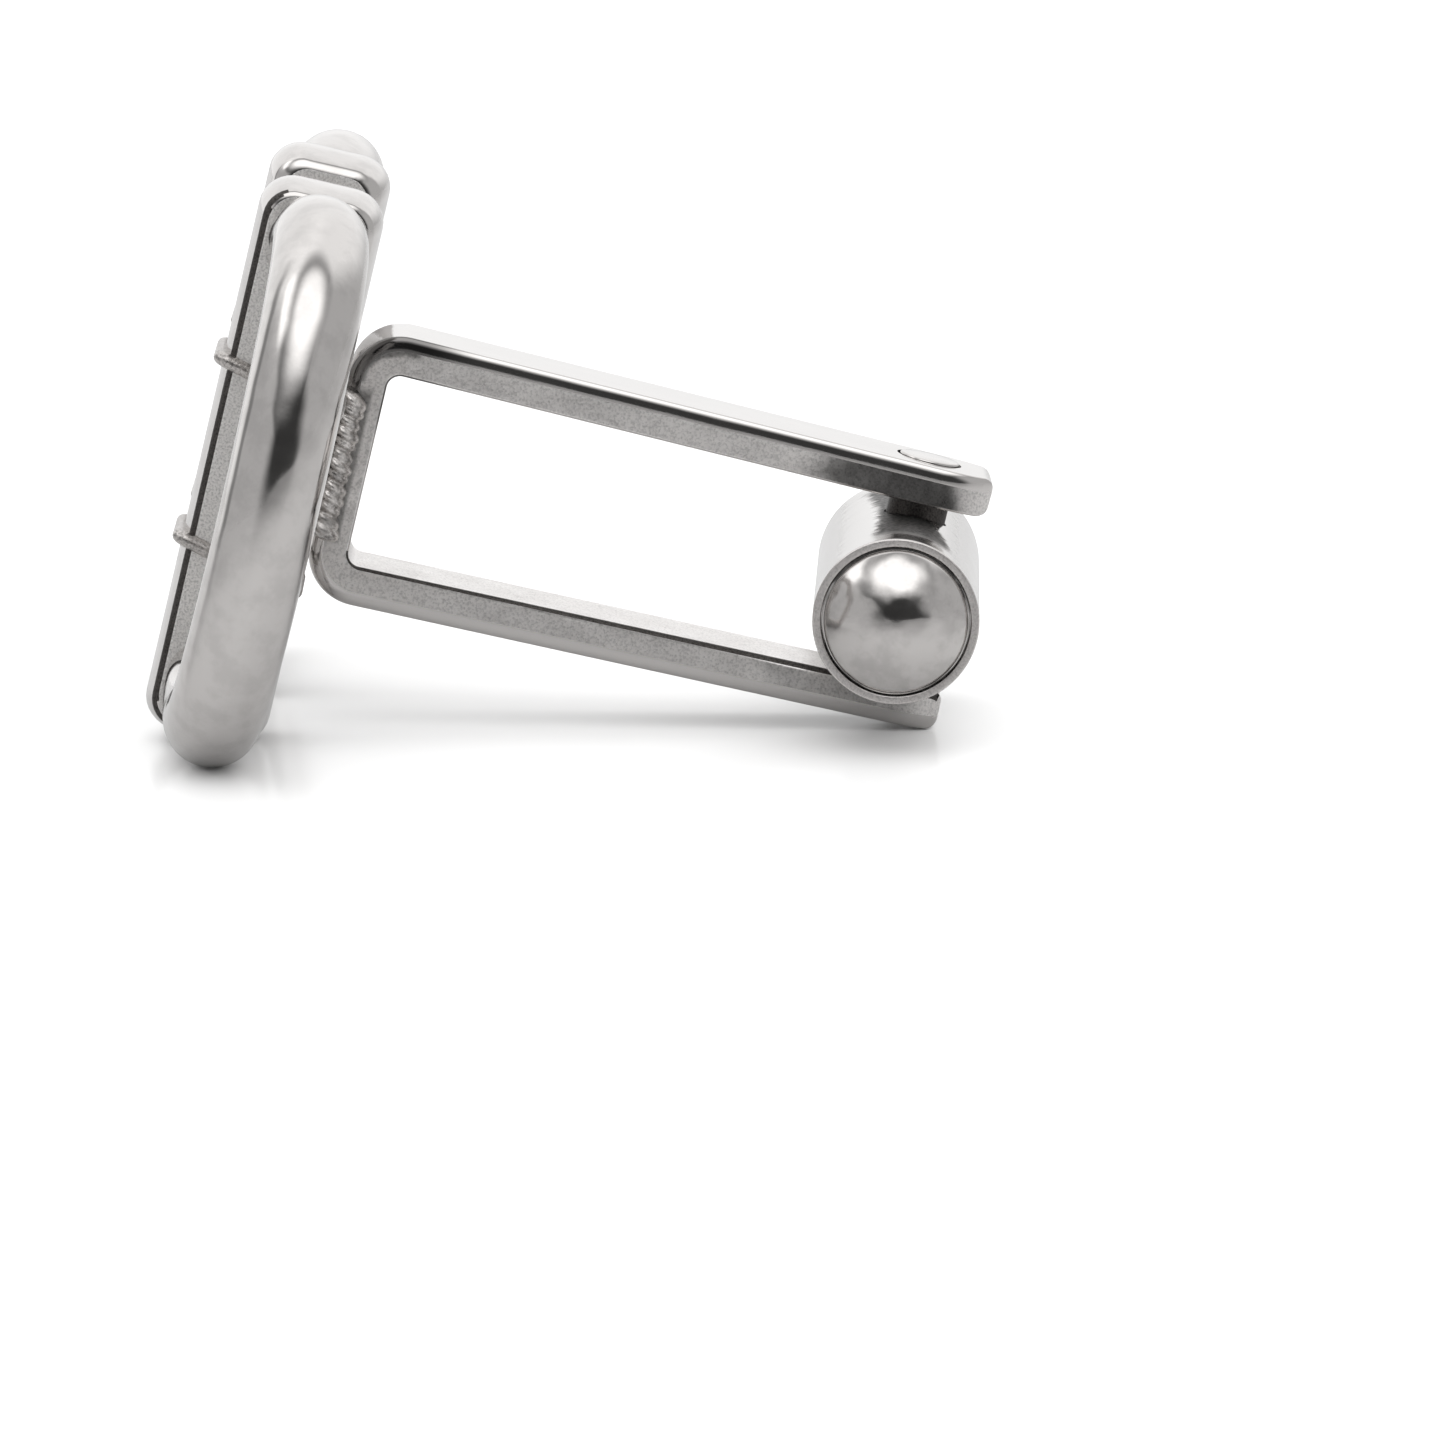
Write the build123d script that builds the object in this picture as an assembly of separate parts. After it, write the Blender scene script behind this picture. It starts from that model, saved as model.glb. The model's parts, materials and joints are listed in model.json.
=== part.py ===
from build123d import *
import math
import os

# Horse bit cufflink: two D rings and a mouthpiece as the head, a U-shaped swivel frame
# welded behind it, and a domed toggle that turns on a pin between the frame's arms.
# It is drawn with its stem along X, the head at the low end and the arms one above the other,
# and is then leaned over to stand on the two rings and the lower arm, as it rests on a table.
# Lengths are millimetres, angles are degrees.

# Upright bars of the head
bar_below_ring = 0.32
bar_thick = 3.3
bar_depth = 3.3
bar_gap = 5.3
bar_crown = 0.2
bar_corner = 0.9
bar_rim = 0.12

# Round wire of the D rings
wire_dia = 2.8
ring_height = 16.94
ring_leg = 2.8
ring_leg_rise = 0.4
ring_bend_radius = 4.0
ring_front_turn = 52.0
ring_rake = 3.6
ring_root = 0.6

# Mouthpiece and collars
mouth_height = 5.2
mouth_waist = 4.3
mouth_thick = 3.3
mouth_waist_thick = 2.9
mouth_corner = 0.9
mouth_root = 0.5
mouth_seat = 0.06
collar_spacing = 5.4
collar_width = 0.44
collar_proud = 0.24

# Swivel frame
frame_length = 19.4
strip_thick = 1.18
strip_width = 3.3
frame_inner_radius = 0.4
arm_taper = 0.75
arm_end_radius = 0.8
arm_end_edge = 0.2
strip_edge = 0.09

# Weld beads between the frame and the mouthpiece
weld_length = 4.4
weld_reach = 0.5
weld_climb = 0.7
weld_root = 0.3

# Pivot pin
pin_dia = 1.82
pin_from_head = 17.4
pin_proud = 0.12
pin_edge = 0.05
pin_fit_clearance = 0.01
pin_running_clearance = 0.04

# Toggle
barrel_dia = 4.9
barrel_length = 12.2
barrel_wall = 0.25
barrel_play = 0.53
barrel_seat_gap = 0.065
barrel_edge = 0.05
toggle_turn = 2.0
cap_clearance = 0.02
cap_depth = 1.2
groove_width = 0.09
groove_depth = 0.35
dome_height = 0.98

# Places worked out from the sizes
wire_radius = wire_dia / 2
bar_height = ring_height - 2 * bar_below_ring
bar_face = bar_gap / 2 + bar_depth
bar_center_x = -(bar_thick / 2 + bar_crown)
arm_slope = math.tan(math.radians(arm_taper))
arm_inner_at_pin = (barrel_dia + barrel_play) / 2
frame_width = 2 * (arm_inner_at_pin + strip_thick + pin_from_head * arm_slope)
barrel_drop = barrel_play / 2 - barrel_seat_gap
arm_outer_at_pin = frame_width / 2 - pin_from_head * arm_slope
arm_outer_at_end = frame_width / 2 - frame_length * arm_slope
wire_height = ring_height / 2 - wire_radius


def upright_bar(side):
    """One upright: flat faces towards and away from its ring, and a crowned band round them."""
    center_y = side * (bar_gap / 2 + bar_depth / 2)
    sections = []
    for share, crown in ((-0.5, 0), (0, bar_crown), (0.5, 0)):
        place = Plane(
            origin=(bar_center_x, center_y + share * bar_depth, 0),
            x_dir=(1, 0, 0),
            z_dir=(0, -1, 0),
        )
        outline = RectangleRounded(
            bar_thick + 2 * crown, bar_height + 2 * crown, bar_corner + crown
        )
        sections.append(place * outline)
    bar = loft(sections)
    flat_faces = bar.faces().sort_by(Axis.Y)
    rims = flat_faces[0].edges() + flat_faces[-1].edges()
    return chamfer(rims, bar_rim)


def ring_bow(side):
    """The round wire of one D ring: two legs that flare, two bends and a gently bowed front."""
    leg_radius = (ring_leg**2 + ring_leg_rise**2) / (2 * ring_leg_rise)
    leg_turn = math.degrees(math.asin((ring_leg + ring_root) / leg_radius))
    front_half = ring_front_turn / 2
    bend_turn = 90 - front_half
    straight = wire_height - ring_bend_radius
    front_radius = straight / math.sin(math.radians(front_half)) + ring_bend_radius
    front_center = ring_leg - (front_radius - ring_bend_radius) * math.cos(math.radians(front_half))
    top = (ring_leg, wire_height - leg_radius)
    bend = (ring_leg, straight)
    arcs = [
        CenterArc(top, leg_radius, 90 + leg_turn, -leg_turn),
        CenterArc(bend, ring_bend_radius, 90, -bend_turn),
        CenterArc((front_center, 0), front_radius, front_half, -2 * front_half),
        CenterArc((bend[0], -bend[1]), ring_bend_radius, -front_half, -bend_turn),
        CenterArc((top[0], -top[1]), leg_radius, -90, -leg_turn),
    ]
    rake = math.radians(ring_rake)
    ring_plane = Plane(
        origin=(bar_center_x, side * bar_face, 0),
        x_dir=(math.sin(rake), side * math.cos(rake), 0),
        z_dir=(side * math.cos(rake), -math.sin(rake), 0),
    )
    path = ring_plane * Wire(arcs)
    start = Plane(origin=path @ 0, z_dir=path % 0)
    return sweep(start * Circle(wire_radius), path=path)


def collar(side, level):
    """A fine band that stands proud all round an upright."""
    center_y = side * (bar_gap / 2 + bar_depth / 2)
    across = bar_thick + 2 * (bar_crown + collar_proud)
    deep = bar_depth + 2 * collar_proud
    place = Pos(bar_center_x, center_y, level * collar_spacing / 2)
    return place * extrude(
        RectangleRounded(across, deep, collar_proud * 2), collar_width / 2, both=True
    )


def mouthpiece():
    """The bar between the uprights, waisted at its middle, its flat back let into the frame."""
    reach = bar_gap / 2 + mouth_root
    sections = []
    for share, thick, height in (
        (-1, mouth_thick, mouth_height),
        (0, mouth_waist_thick, mouth_waist),
        (1, mouth_thick, mouth_height),
    ):
        place = Plane(
            origin=(mouth_seat - thick / 2, share * reach, 0), x_dir=(1, 0, 0), z_dir=(0, -1, 0)
        )
        sections.append(place * RectangleRounded(thick, height, mouth_corner))
    return loft(sections)


def weld_bead(side):
    """A fillet of weld along one edge of the frame's base, on the mouthpiece's flat back."""
    edge = strip_width / 2
    corners = [
        (0, edge - weld_root),
        (0, edge + weld_reach),
        (weld_climb * 0.6, edge + weld_reach * 0.6),
        (weld_climb, edge),
        (weld_climb, edge - weld_root),
    ]
    outline = make_face(Polyline([(x, side * y) for x, y in corners], close=True))
    return extrude(outline, weld_length / 2, both=True)


def swivel_frame():
    """The strip bent to a U: its base lies against the mouthpiece and its arms draw together."""
    side_view = Polyline(
        (frame_length, arm_outer_at_end),
        (0, frame_width / 2),
        (0, -frame_width / 2),
        (frame_length, -arm_outer_at_end),
        close=True,
    )
    side_view = make_face(side_view)
    side_view = fillet(
        side_view.vertices().sort_by(Axis.X)[:2], frame_inner_radius + strip_thick
    )
    opening_half = frame_width / 2 - strip_thick * (1 + arm_slope)
    opening_run = frame_length - strip_thick
    opening = Polyline(
        (frame_length, opening_half - opening_run * arm_slope),
        (strip_thick, opening_half),
        (strip_thick, -opening_half),
        (frame_length, -(opening_half - opening_run * arm_slope)),
        close=True,
    )
    opening = make_face(opening)
    opening = fillet(opening.vertices().sort_by(Axis.X)[:2], frame_inner_radius)
    side_view -= opening
    side_view = fillet(side_view.vertices().group_by(Axis.X)[-1], arm_end_edge)
    frame = extrude(Plane.XZ * side_view, strip_width / 2, both=True)
    sides = frame.faces().filter_by(Axis.Y).sort_by(Axis.Y)
    frame = chamfer(sides[0].edges() + sides[-1].edges(), strip_edge)
    plan = Pos(frame_length / 2, 0) * Rectangle(frame_length, strip_width)
    plan = fillet(plan.vertices().sort_by(Axis.X)[-2:], arm_end_radius)
    frame &= extrude(plan, frame_width, both=True)
    pin_hole = Cylinder(pin_dia / 2 + pin_fit_clearance, 2 * frame_width)
    return frame - Pos(pin_from_head, 0, 0) * pin_hole


def head_and_frame():
    """All the soldered metal: mouthpiece, uprights, rings, collars and the welded frame."""
    metal = mouthpiece() + swivel_frame()
    for side in (-1, 1):
        metal += weld_bead(side)
        metal += upright_bar(side)
        metal += ring_bow(side)
        for level in (-1, 1):
            metal += collar(side, level)
    return metal


def pivot_pin():
    pin = Cylinder(pin_dia / 2, 2 * (arm_outer_at_pin + pin_proud))
    pin = chamfer(pin.edges().filter_by(GeomType.CIRCLE), pin_edge)
    return Pos(pin_from_head, 0, 0) * pin


def toggle_place():
    """The middle of the barrel, low on the pin and turned as it came to rest."""
    return Pos(pin_from_head, 0, -barrel_drop) * Rot(0, 0, -toggle_turn) * Rot(90, 0, 0)


def toggle_barrel():
    bore_radius = barrel_dia / 2 - barrel_wall
    barrel = Cylinder(barrel_dia / 2, barrel_length)
    barrel = chamfer(barrel.edges().filter_by(GeomType.CIRCLE), barrel_edge)
    barrel -= Cylinder(bore_radius, 2 * barrel_length)
    barrel -= Rot(90, 0, 0) * Cylinder(pin_dia / 2 + pin_running_clearance, 2 * barrel_dia)
    return toggle_place() * barrel


def domed_cap(side):
    """A cap that sits in the bore, with a neck that leaves a groove inside the rim, and a dome."""
    shank_radius = barrel_dia / 2 - barrel_wall - cap_clearance
    neck_radius = barrel_dia / 2 - barrel_wall - groove_width
    rim = barrel_length / 2
    dome_radius = (neck_radius**2 + dome_height**2) / (2 * dome_height)
    with BuildPart() as cap:
        with BuildSketch(Plane.XZ):
            with BuildLine():
                Polyline(
                    (0, rim - cap_depth),
                    (shank_radius, rim - cap_depth),
                    (shank_radius, rim - groove_depth),
                    (neck_radius, rim - groove_depth),
                    (neck_radius, rim),
                )
                RadiusArc((neck_radius, rim), (0, rim + dome_height), -dome_radius)
                Line((0, rim + dome_height), (0, rim - cap_depth))
            make_face()
        revolve(axis=Axis.Z)
    turn = Rot(0, 0, 0) if side > 0 else Rot(180, 0, 0)
    return toggle_place() * turn * cap.part


def rest_lean():
    """The angle at which a line touches the bottom of the ring wire and the lower arm's end."""
    ring_x = bar_center_x + ring_leg * math.sin(math.radians(ring_rake))
    run = frame_length - arm_end_edge - ring_x
    rise = wire_height - (arm_outer_at_end - arm_end_edge)
    reach = math.hypot(run, rise)
    return math.degrees(math.atan2(rise, run) + math.asin((wire_radius - arm_end_edge) / reach))


nodes = {
    "head_and_frame": head_and_frame(),
    "pivot_pin": pivot_pin(),
    "toggle_barrel": toggle_barrel(),
    "near_cap": domed_cap(1),
    "far_cap": domed_cap(-1),
}

# Stand the cufflink on the table, with the origin under the middle of its outer box
lean = Rot(0, rest_lean(), 0)
leaned = Compound(children=[Part() + lean * solid for solid in nodes.values()])
box = leaned.bounding_box()
to_table = Pos(-box.center().X, -box.center().Y, -box.min.Z)

os.makedirs("parts", exist_ok=True)
for name, solid in nodes.items():
    export_step(to_table * lean * solid, f"parts/{name}.step")
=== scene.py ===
# %% [markdown]
# # A horse bit cufflink in polished stainless steel
# The cufflink is a piece of soldered metal with one moving part. Its head looks like a horse's
# bit: two D rings, each closed by an upright bar, and a mouthpiece between the bars. A strip of
# steel bent to a U is welded behind the mouthpiece, and a small barrel with domed ends turns
# on a pin between the arms of the U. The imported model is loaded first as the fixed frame.

# %% Load the frame
import json
import math

import bmesh
import bpy
from mathutils import Matrix, Vector


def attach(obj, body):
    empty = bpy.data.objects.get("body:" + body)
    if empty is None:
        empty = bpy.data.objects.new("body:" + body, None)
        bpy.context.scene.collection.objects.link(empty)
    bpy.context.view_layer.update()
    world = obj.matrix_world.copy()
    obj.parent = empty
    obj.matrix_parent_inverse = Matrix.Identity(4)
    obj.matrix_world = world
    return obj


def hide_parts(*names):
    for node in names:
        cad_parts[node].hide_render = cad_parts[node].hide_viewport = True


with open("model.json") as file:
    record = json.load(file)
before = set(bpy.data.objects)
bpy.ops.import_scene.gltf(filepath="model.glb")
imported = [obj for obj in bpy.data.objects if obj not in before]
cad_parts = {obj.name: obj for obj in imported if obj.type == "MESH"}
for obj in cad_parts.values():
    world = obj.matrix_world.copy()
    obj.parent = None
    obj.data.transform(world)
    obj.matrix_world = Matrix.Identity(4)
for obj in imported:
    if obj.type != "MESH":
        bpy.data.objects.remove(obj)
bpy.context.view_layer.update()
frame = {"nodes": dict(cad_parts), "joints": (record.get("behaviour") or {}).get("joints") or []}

print("Nodes:", sorted(frame["nodes"]))

# %% [markdown]
# Each piece is modelled in millimetres with the stem lying along X, the head at the low end and
# the viewer's side at low Y, because that is how such a part would be drawn. At rest the
# cufflink leans on its two rings and the end of its lower arm. The lean and the place are read
# from the joint of the frame: its axis is the pin, which stands square to the stem.

# %% Where the drawing stands on the table
PIN_FROM_HEAD = 17.4
joint = frame["joints"][0]
pin_axis = Vector(joint["axis"])
LEAN = math.atan2(pin_axis.x, pin_axis.z)
to_pin = Matrix.Rotation(LEAN, 4, "Y") @ Vector((PIN_FROM_HEAD, 0, 0))
HOME = Vector(joint["pos_m"]) * 1000 - to_pin
STAND = Matrix.Scale(0.001, 4) @ Matrix.Translation(HOME) @ Matrix.Rotation(LEAN, 4, "Y")
print(f"Lean {math.degrees(LEAN):.2f} degrees, stem's base at {[round(v, 3) for v in HOME]}")

# %% [markdown]
# The camera looks along the photograph's line of sight. Its place was worked out by fitting
# points of the drawing to the picture, and its long lens gives the picture's weak perspective.

# %% Camera
CAMERA_ELEVATION = math.radians(9.711)
CAMERA_AZIMUTH = math.radians(0.720)
CAMERA_ROLL = math.radians(0.833)
CAMERA_DISTANCE = 0.301476
CAMERA_TARGET = Vector((0.004521, 0.0, -0.000065))
FOCAL_LENGTH = 251.2

camera_data = bpy.data.cameras.new("camera")
camera_data.lens = FOCAL_LENGTH
camera_data.sensor_width = 36
camera_data.clip_start = 0.01
camera_data.clip_end = 10
camera = bpy.data.objects.new("camera", camera_data)
bpy.context.scene.collection.objects.link(camera)
ahead = Vector((
    math.sin(CAMERA_AZIMUTH) * math.cos(CAMERA_ELEVATION),
    math.cos(CAMERA_AZIMUTH) * math.cos(CAMERA_ELEVATION),
    -math.sin(CAMERA_ELEVATION),
))
level_right = Vector((math.cos(CAMERA_AZIMUTH), -math.sin(CAMERA_AZIMUTH), 0))
level_up = level_right.cross(ahead)
right = level_right * math.cos(CAMERA_ROLL) + level_up * math.sin(CAMERA_ROLL)
up = level_up * math.cos(CAMERA_ROLL) - level_right * math.sin(CAMERA_ROLL)
turn = Matrix((right, up, -ahead)).transposed().to_4x4()
camera.matrix_world = Matrix.Translation(CAMERA_TARGET - ahead * CAMERA_DISTANCE) @ turn
bpy.context.scene.camera = camera
print("Camera stands at", [round(v, 4) for v in camera.matrix_world.translation])

# %% [markdown]
# Modelling in edit mode always follows the same rhythm: nothing selected, add a primitive, pick
# faces or edges by their place, and run an operator on them. A few helpers keep that short.

# %% Helpers for modelling
def clear_selection():
    """Leaves edit mode with nothing selected."""
    if bpy.context.mode != "OBJECT":
        bpy.ops.object.mode_set(mode="OBJECT")
    bpy.ops.object.select_all(action="DESELECT")


def take(piece):
    """Makes one piece the selected and active one."""
    clear_selection()
    piece.select_set(True)
    bpy.context.view_layer.objects.active = piece


def begin(name):
    """Names the primitive that was just added and opens it in edit mode."""
    piece = bpy.context.object
    piece.name = name
    piece.data.name = name
    bpy.ops.object.mode_set(mode="EDIT")
    return piece


def pick(kind, test):
    """Selects the vertices, edges or faces whose middle and normal pass the test."""
    bpy.ops.mesh.select_mode(type=kind)
    bpy.ops.mesh.select_all(action="DESELECT")
    mesh = bmesh.from_edit_mesh(bpy.context.object.data)
    mesh.normal_update()
    for part in {"VERT": mesh.verts, "EDGE": mesh.edges, "FACE": mesh.faces}[kind]:
        if kind == "VERT":
            middle, facing = part.co, part.normal
        elif kind == "EDGE":
            start, end = (corner.co for corner in part.verts)
            middle, facing = (start + end) / 2, end - start
        else:
            middle, facing = part.calc_center_median(), part.normal
        if test(middle, facing):
            part.select_set(True)
    mesh.select_flush_mode()
    bmesh.update_edit_mesh(bpy.context.object.data)


def apply_modifiers(piece):
    take(piece)
    for modifier in list(piece.modifiers):
        bpy.ops.object.modifier_apply(modifier=modifier.name)


def measure(piece):
    corners = [piece.matrix_world @ Vector(c) for c in piece.bound_box]
    size = [max(c[i] for c in corners) - min(c[i] for c in corners) for i in range(3)]
    print(piece.name, [round(v, 3) for v in size], "mm,", len(piece.data.polygons), "faces")


def even_shading(piece, angle=35):
    """Smooth shading that keeps flat faces flat and edges over the angle crisp."""
    take(piece)
    bpy.ops.object.shade_smooth_by_angle(angle=math.radians(angle))
    weighted = piece.modifiers.new("even", "WEIGHTED_NORMAL")
    weighted.keep_sharp = True
    apply_modifiers(piece)
    measure(piece)


def tidy_shell(piece):
    """Joins doubled points and turns every face outwards."""
    take(piece)
    bpy.ops.object.mode_set(mode="EDIT")
    bpy.ops.mesh.select_all(action="SELECT")
    bpy.ops.mesh.remove_doubles(threshold=0.0005)
    bpy.ops.mesh.normals_make_consistent(inside=False)
    clear_selection()
    return piece


def copy_piece(piece, name):
    """A copy with its own mesh."""
    take(piece)
    bpy.ops.object.duplicate(linked=False)
    twin = bpy.context.object
    twin.name = name
    twin.data.name = name
    return twin


def place(piece, matrix):
    """Moves or turns a piece and writes that into its mesh."""
    take(piece)
    piece.matrix_world = matrix
    bpy.ops.object.transform_apply()
    return piece


# %% [markdown]
# ## The D rings
# On the real cufflink each ring is a length of round wire, bent to a D and soldered to its
# upright bar. It could be a curve with a round bevel, but spinning a circle along one arc after
# another is how wire is bent over a former, and it gives even rows of faces that reflect
# cleanly. One ring is modelled in its own plane and copied.

# %% Bend one ring
WIRE_RADIUS = 1.4
WIRE_SIDES = 56
RING_HEIGHT = 16.94
RING_LEG = 2.8
RING_LEG_RISE = 0.4
RING_BEND_RADIUS = 4.0
RING_FRONT_TURN = math.radians(52)
RING_RAKE = math.radians(3.6)
RING_ROOT = 0.6
BAR_THICK = 3.3
BAR_DEPTH = 3.3
BAR_GAP = 5.3
BAR_CROWN = 0.2
BAR_HEIGHT = 16.3

wire_height = RING_HEIGHT / 2 - WIRE_RADIUS
leg_radius = (RING_LEG**2 + RING_LEG_RISE**2) / (2 * RING_LEG_RISE)
leg_turn = math.asin((RING_LEG + RING_ROOT) / leg_radius)
bend_turn = math.pi / 2 - RING_FRONT_TURN / 2
bend_height = wire_height - RING_BEND_RADIUS
front_radius = bend_height / math.sin(RING_FRONT_TURN / 2) + RING_BEND_RADIUS
front_middle = RING_LEG - (front_radius - RING_BEND_RADIUS) * math.cos(RING_FRONT_TURN / 2)

clear_selection()
bpy.ops.mesh.primitive_circle_add(
    vertices=WIRE_SIDES,
    radius=WIRE_RADIUS,
    location=(-RING_ROOT, 0, wire_height - leg_radius + leg_radius * math.cos(leg_turn)),
    rotation=(0, math.pi / 2 - leg_turn, 0),
)
bpy.ops.object.transform_apply()
ring = begin("near_ring")
bpy.ops.mesh.select_all(action="SELECT")
for center_x, center_z, turn_by, steps in (
    (RING_LEG, wire_height - leg_radius, leg_turn, 10),
    (RING_LEG, bend_height, bend_turn, 22),
    (front_middle, 0, RING_FRONT_TURN, 24),
    (RING_LEG, -bend_height, bend_turn, 22),
    (RING_LEG, leg_radius - wire_height, leg_turn, 10),
):
    bpy.ops.mesh.spin(steps=steps, angle=-turn_by, center=(center_x, 0, center_z), axis=(0, 1, 0))
clear_selection()
tidy_shell(ring)
measure(ring)

# %% [markdown]
# The bends of real wire run softly into the straighter stretches. One level of subdivision
# spreads the change and rounds the facets. The flat ends disappear inside the upright, but they
# are closed, so that the piece is a solid.

# %% Soften and place the rings
take(ring)
bpy.ops.object.mode_set(mode="EDIT")
bpy.ops.mesh.select_mode(type="EDGE")
bpy.ops.mesh.select_all(action="DESELECT")
bpy.ops.mesh.select_non_manifold()
bpy.ops.mesh.edge_face_add()
clear_selection()
tidy_shell(ring)
rounding = ring.modifiers.new("rounding", "SUBSURF")
rounding.levels = rounding.render_levels = 1
apply_modifiers(ring)
far_ring = copy_piece(ring, "far_ring")

for piece, side in ((ring, -1), (far_ring, 1)):
    outward = Vector((math.sin(RING_RAKE), side * math.cos(RING_RAKE), 0))
    turn_out = Matrix.Rotation(math.atan2(outward.y, outward.x), 4, "Z")
    seat = Vector((-(BAR_THICK / 2 + BAR_CROWN), side * (BAR_GAP / 2 + BAR_DEPTH), 0))
    place(piece, Matrix.Translation(seat) @ turn_out)
    even_shading(piece, 50)

# %% [markdown]
# ## The uprights
# An upright is a small square bar. Its two faces across the head are flat and left as they were
# cut, and the band that runs round it is slightly crowned from polishing. A plane with rounded
# corners is extruded in steps and each step is scaled to the crown's height, as on a lathe
# profile. The first and last steps make the softened rim.

# %% Shape an upright
BAR_CORNER = 0.9
OUTER_RIM = 0.26
INNER_RIM = 0.5
RIM_STEPS = 5
CROWN_STEPS = 8


def bar_profile(depth, crown, first_rim, last_rim):
    """Pairs of place along the bar and growth of its outline, for a crowned bar with rims."""
    half = depth / 2

    def rim_rows(rim):
        last = math.pi / 2 - math.atan(2 * crown / (half - rim))
        angles = [last * i / RIM_STEPS for i in range(RIM_STEPS + 1)]
        top = math.sin(last)
        return [(rim * (1 - math.cos(a)) - half, rim * (math.sin(a) - top)) for a in angles]

    first, last = rim_rows(first_rim), rim_rows(last_rim)
    start, end = first[-1][0], -last[-1][0]
    rows = list(first)
    for i in range(1, CROWN_STEPS):
        share = i / CROWN_STEPS
        rows.append((start + (end - start) * share, 4 * crown * share * (1 - share)))
    rows += [(-spot, growth) for spot, growth in reversed(last)]
    return rows


def stepped_bar(name, across, height, corner, rows):
    """Extrudes a rounded plane along Y through the rows, resizing it to each row's growth."""
    clear_selection()
    bpy.ops.mesh.primitive_plane_add(size=1, rotation=(math.pi / 2, 0, 0))
    bpy.ops.transform.resize(value=(across, 1, height))
    bpy.ops.object.transform_apply()
    piece = begin(name)
    bpy.ops.mesh.select_all(action="SELECT")
    bpy.ops.mesh.bevel(affect="VERTICES", offset=corner, segments=8)
    bpy.ops.mesh.select_all(action="SELECT")
    level, grown = 0, (across, height)
    for i, (next_level, growth) in enumerate(rows):
        move = {"value": (0, next_level - level, 0)}
        if i == 0:
            bpy.ops.transform.translate(**move)
        else:
            bpy.ops.mesh.extrude_region_move(TRANSFORM_OT_translate=move)
        new = (across + 2 * growth, height + 2 * growth)
        bpy.ops.transform.resize(
            value=(new[0] / grown[0], 1, new[1] / grown[1]), center_override=(0, next_level, 0)
        )
        level, grown = next_level, new
    clear_selection()
    return tidy_shell(piece)


rows = bar_profile(BAR_DEPTH, BAR_CROWN, OUTER_RIM, INNER_RIM)
upright = stepped_bar("near_upright", BAR_THICK, BAR_HEIGHT, BAR_CORNER, rows)
bar_x = -(BAR_THICK / 2 + BAR_CROWN)
bar_y = BAR_GAP / 2 + BAR_DEPTH / 2
far_upright = copy_piece(upright, "far_upright")
for piece, side, turned in ((upright, -1, 0), (far_upright, 1, math.pi)):
    place(piece, Matrix.Translation((bar_x, side * bar_y, 0)) @ Matrix.Rotation(turned, 4, "Z"))
    even_shading(piece)

# %% [markdown]
# ## Collars and mouthpiece
# Each upright wears two fine bands, which stand for the wire that binds a real bit. They go all
# round it, over the flat faces too, and were not put on quite level, so each is tilted and sits a
# little low. The mouthpiece is hidden behind the near upright, so it is finished plainly: a bar
# with rounded edges that is waisted at its middle. Both use the stepped bar again, the collar
# turned so that its steps run up the upright.

# %% Bind the uprights and join them
COLLAR_SPACING = 5.4
COLLAR_WIDTH = 0.44
COLLAR_TILT = math.radians(13)
COLLAR_SAG = 0.28
COLLAR_SHIFT = 0.08
COLLAR_STEPS = 8
FAR_COLLAR_SIZE = 0.95
COLLAR_PROUD = 0.24
MOUTH_HEIGHT = 5.2
MOUTH_WAIST = 4.3
MOUTH_THICK = 3.3
MOUTH_CORNER = 0.9
MOUTH_ROOT = 0.5
MOUTH_SEAT = 0.06
MOUTH_STEPS = 12

collar_across = BAR_THICK + 2 * (BAR_CROWN + COLLAR_PROUD)
collar_deep = BAR_DEPTH + 2 * COLLAR_PROUD
half_round = COLLAR_WIDTH / 2
collar_rows = [
    (-half_round * math.cos(a), half_round * (math.sin(a) - 1))
    for a in (math.pi * i / COLLAR_STEPS for i in range(COLLAR_STEPS + 1))
]
collar = stepped_bar("collar", collar_across, collar_deep, 2 * COLLAR_PROUD, collar_rows)
place(collar, Matrix.Rotation(math.pi / 2, 4, "X"))
even_shading(collar)
collars = []
for side, side_name in ((-1, "near"), (1, "far")):
    for level, level_name in ((-1, "lower"), (1, "upper")):
        band = copy_piece(collar, f"{side_name}_{level_name}_collar")
        if side > 0:
            place(band, Matrix.Scale(FAR_COLLAR_SIZE, 4))
        place(band, Matrix.Rotation(COLLAR_TILT, 4, "Y"))
        height = level * COLLAR_SPACING / 2 - COLLAR_SAG
        forward = COLLAR_SHIFT if side < 0 else 0
        place(band, Matrix.Translation((bar_x - forward, side * bar_y, height)))
        collars.append(band)
bpy.data.objects.remove(collar)

mouth_reach = BAR_GAP / 2 + MOUTH_ROOT
mouth_rows = []
for i in range(MOUTH_STEPS + 1):
    share = -1 + 2 * i / MOUTH_STEPS
    mouth_rows.append((share * mouth_reach, (MOUTH_WAIST - MOUTH_HEIGHT) / 2 * (1 - share * share)))
mouthpiece = stepped_bar("mouthpiece", MOUTH_THICK, MOUTH_HEIGHT, MOUTH_CORNER, mouth_rows)
place(mouthpiece, Matrix.Translation((MOUTH_SEAT - MOUTH_THICK / 2, 0, 0)))
even_shading(mouthpiece)

# %% [markdown]
# ## The swivel frame
# The frame was blanked from strip about 1.2 mm thick, which rolls its edges over on one side, and
# was then bent to a U with the rolled edges outside. It could be cut from a box, but drawing the
# strip's section along the arm and spinning it round the bends keeps the thickness true, as
# bending does. The rolled edge is part of the section: its corners are bevelled to an arc, and
# the arc is flattened sideways. At the arm's end the section narrows to the end's rounding.

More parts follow.
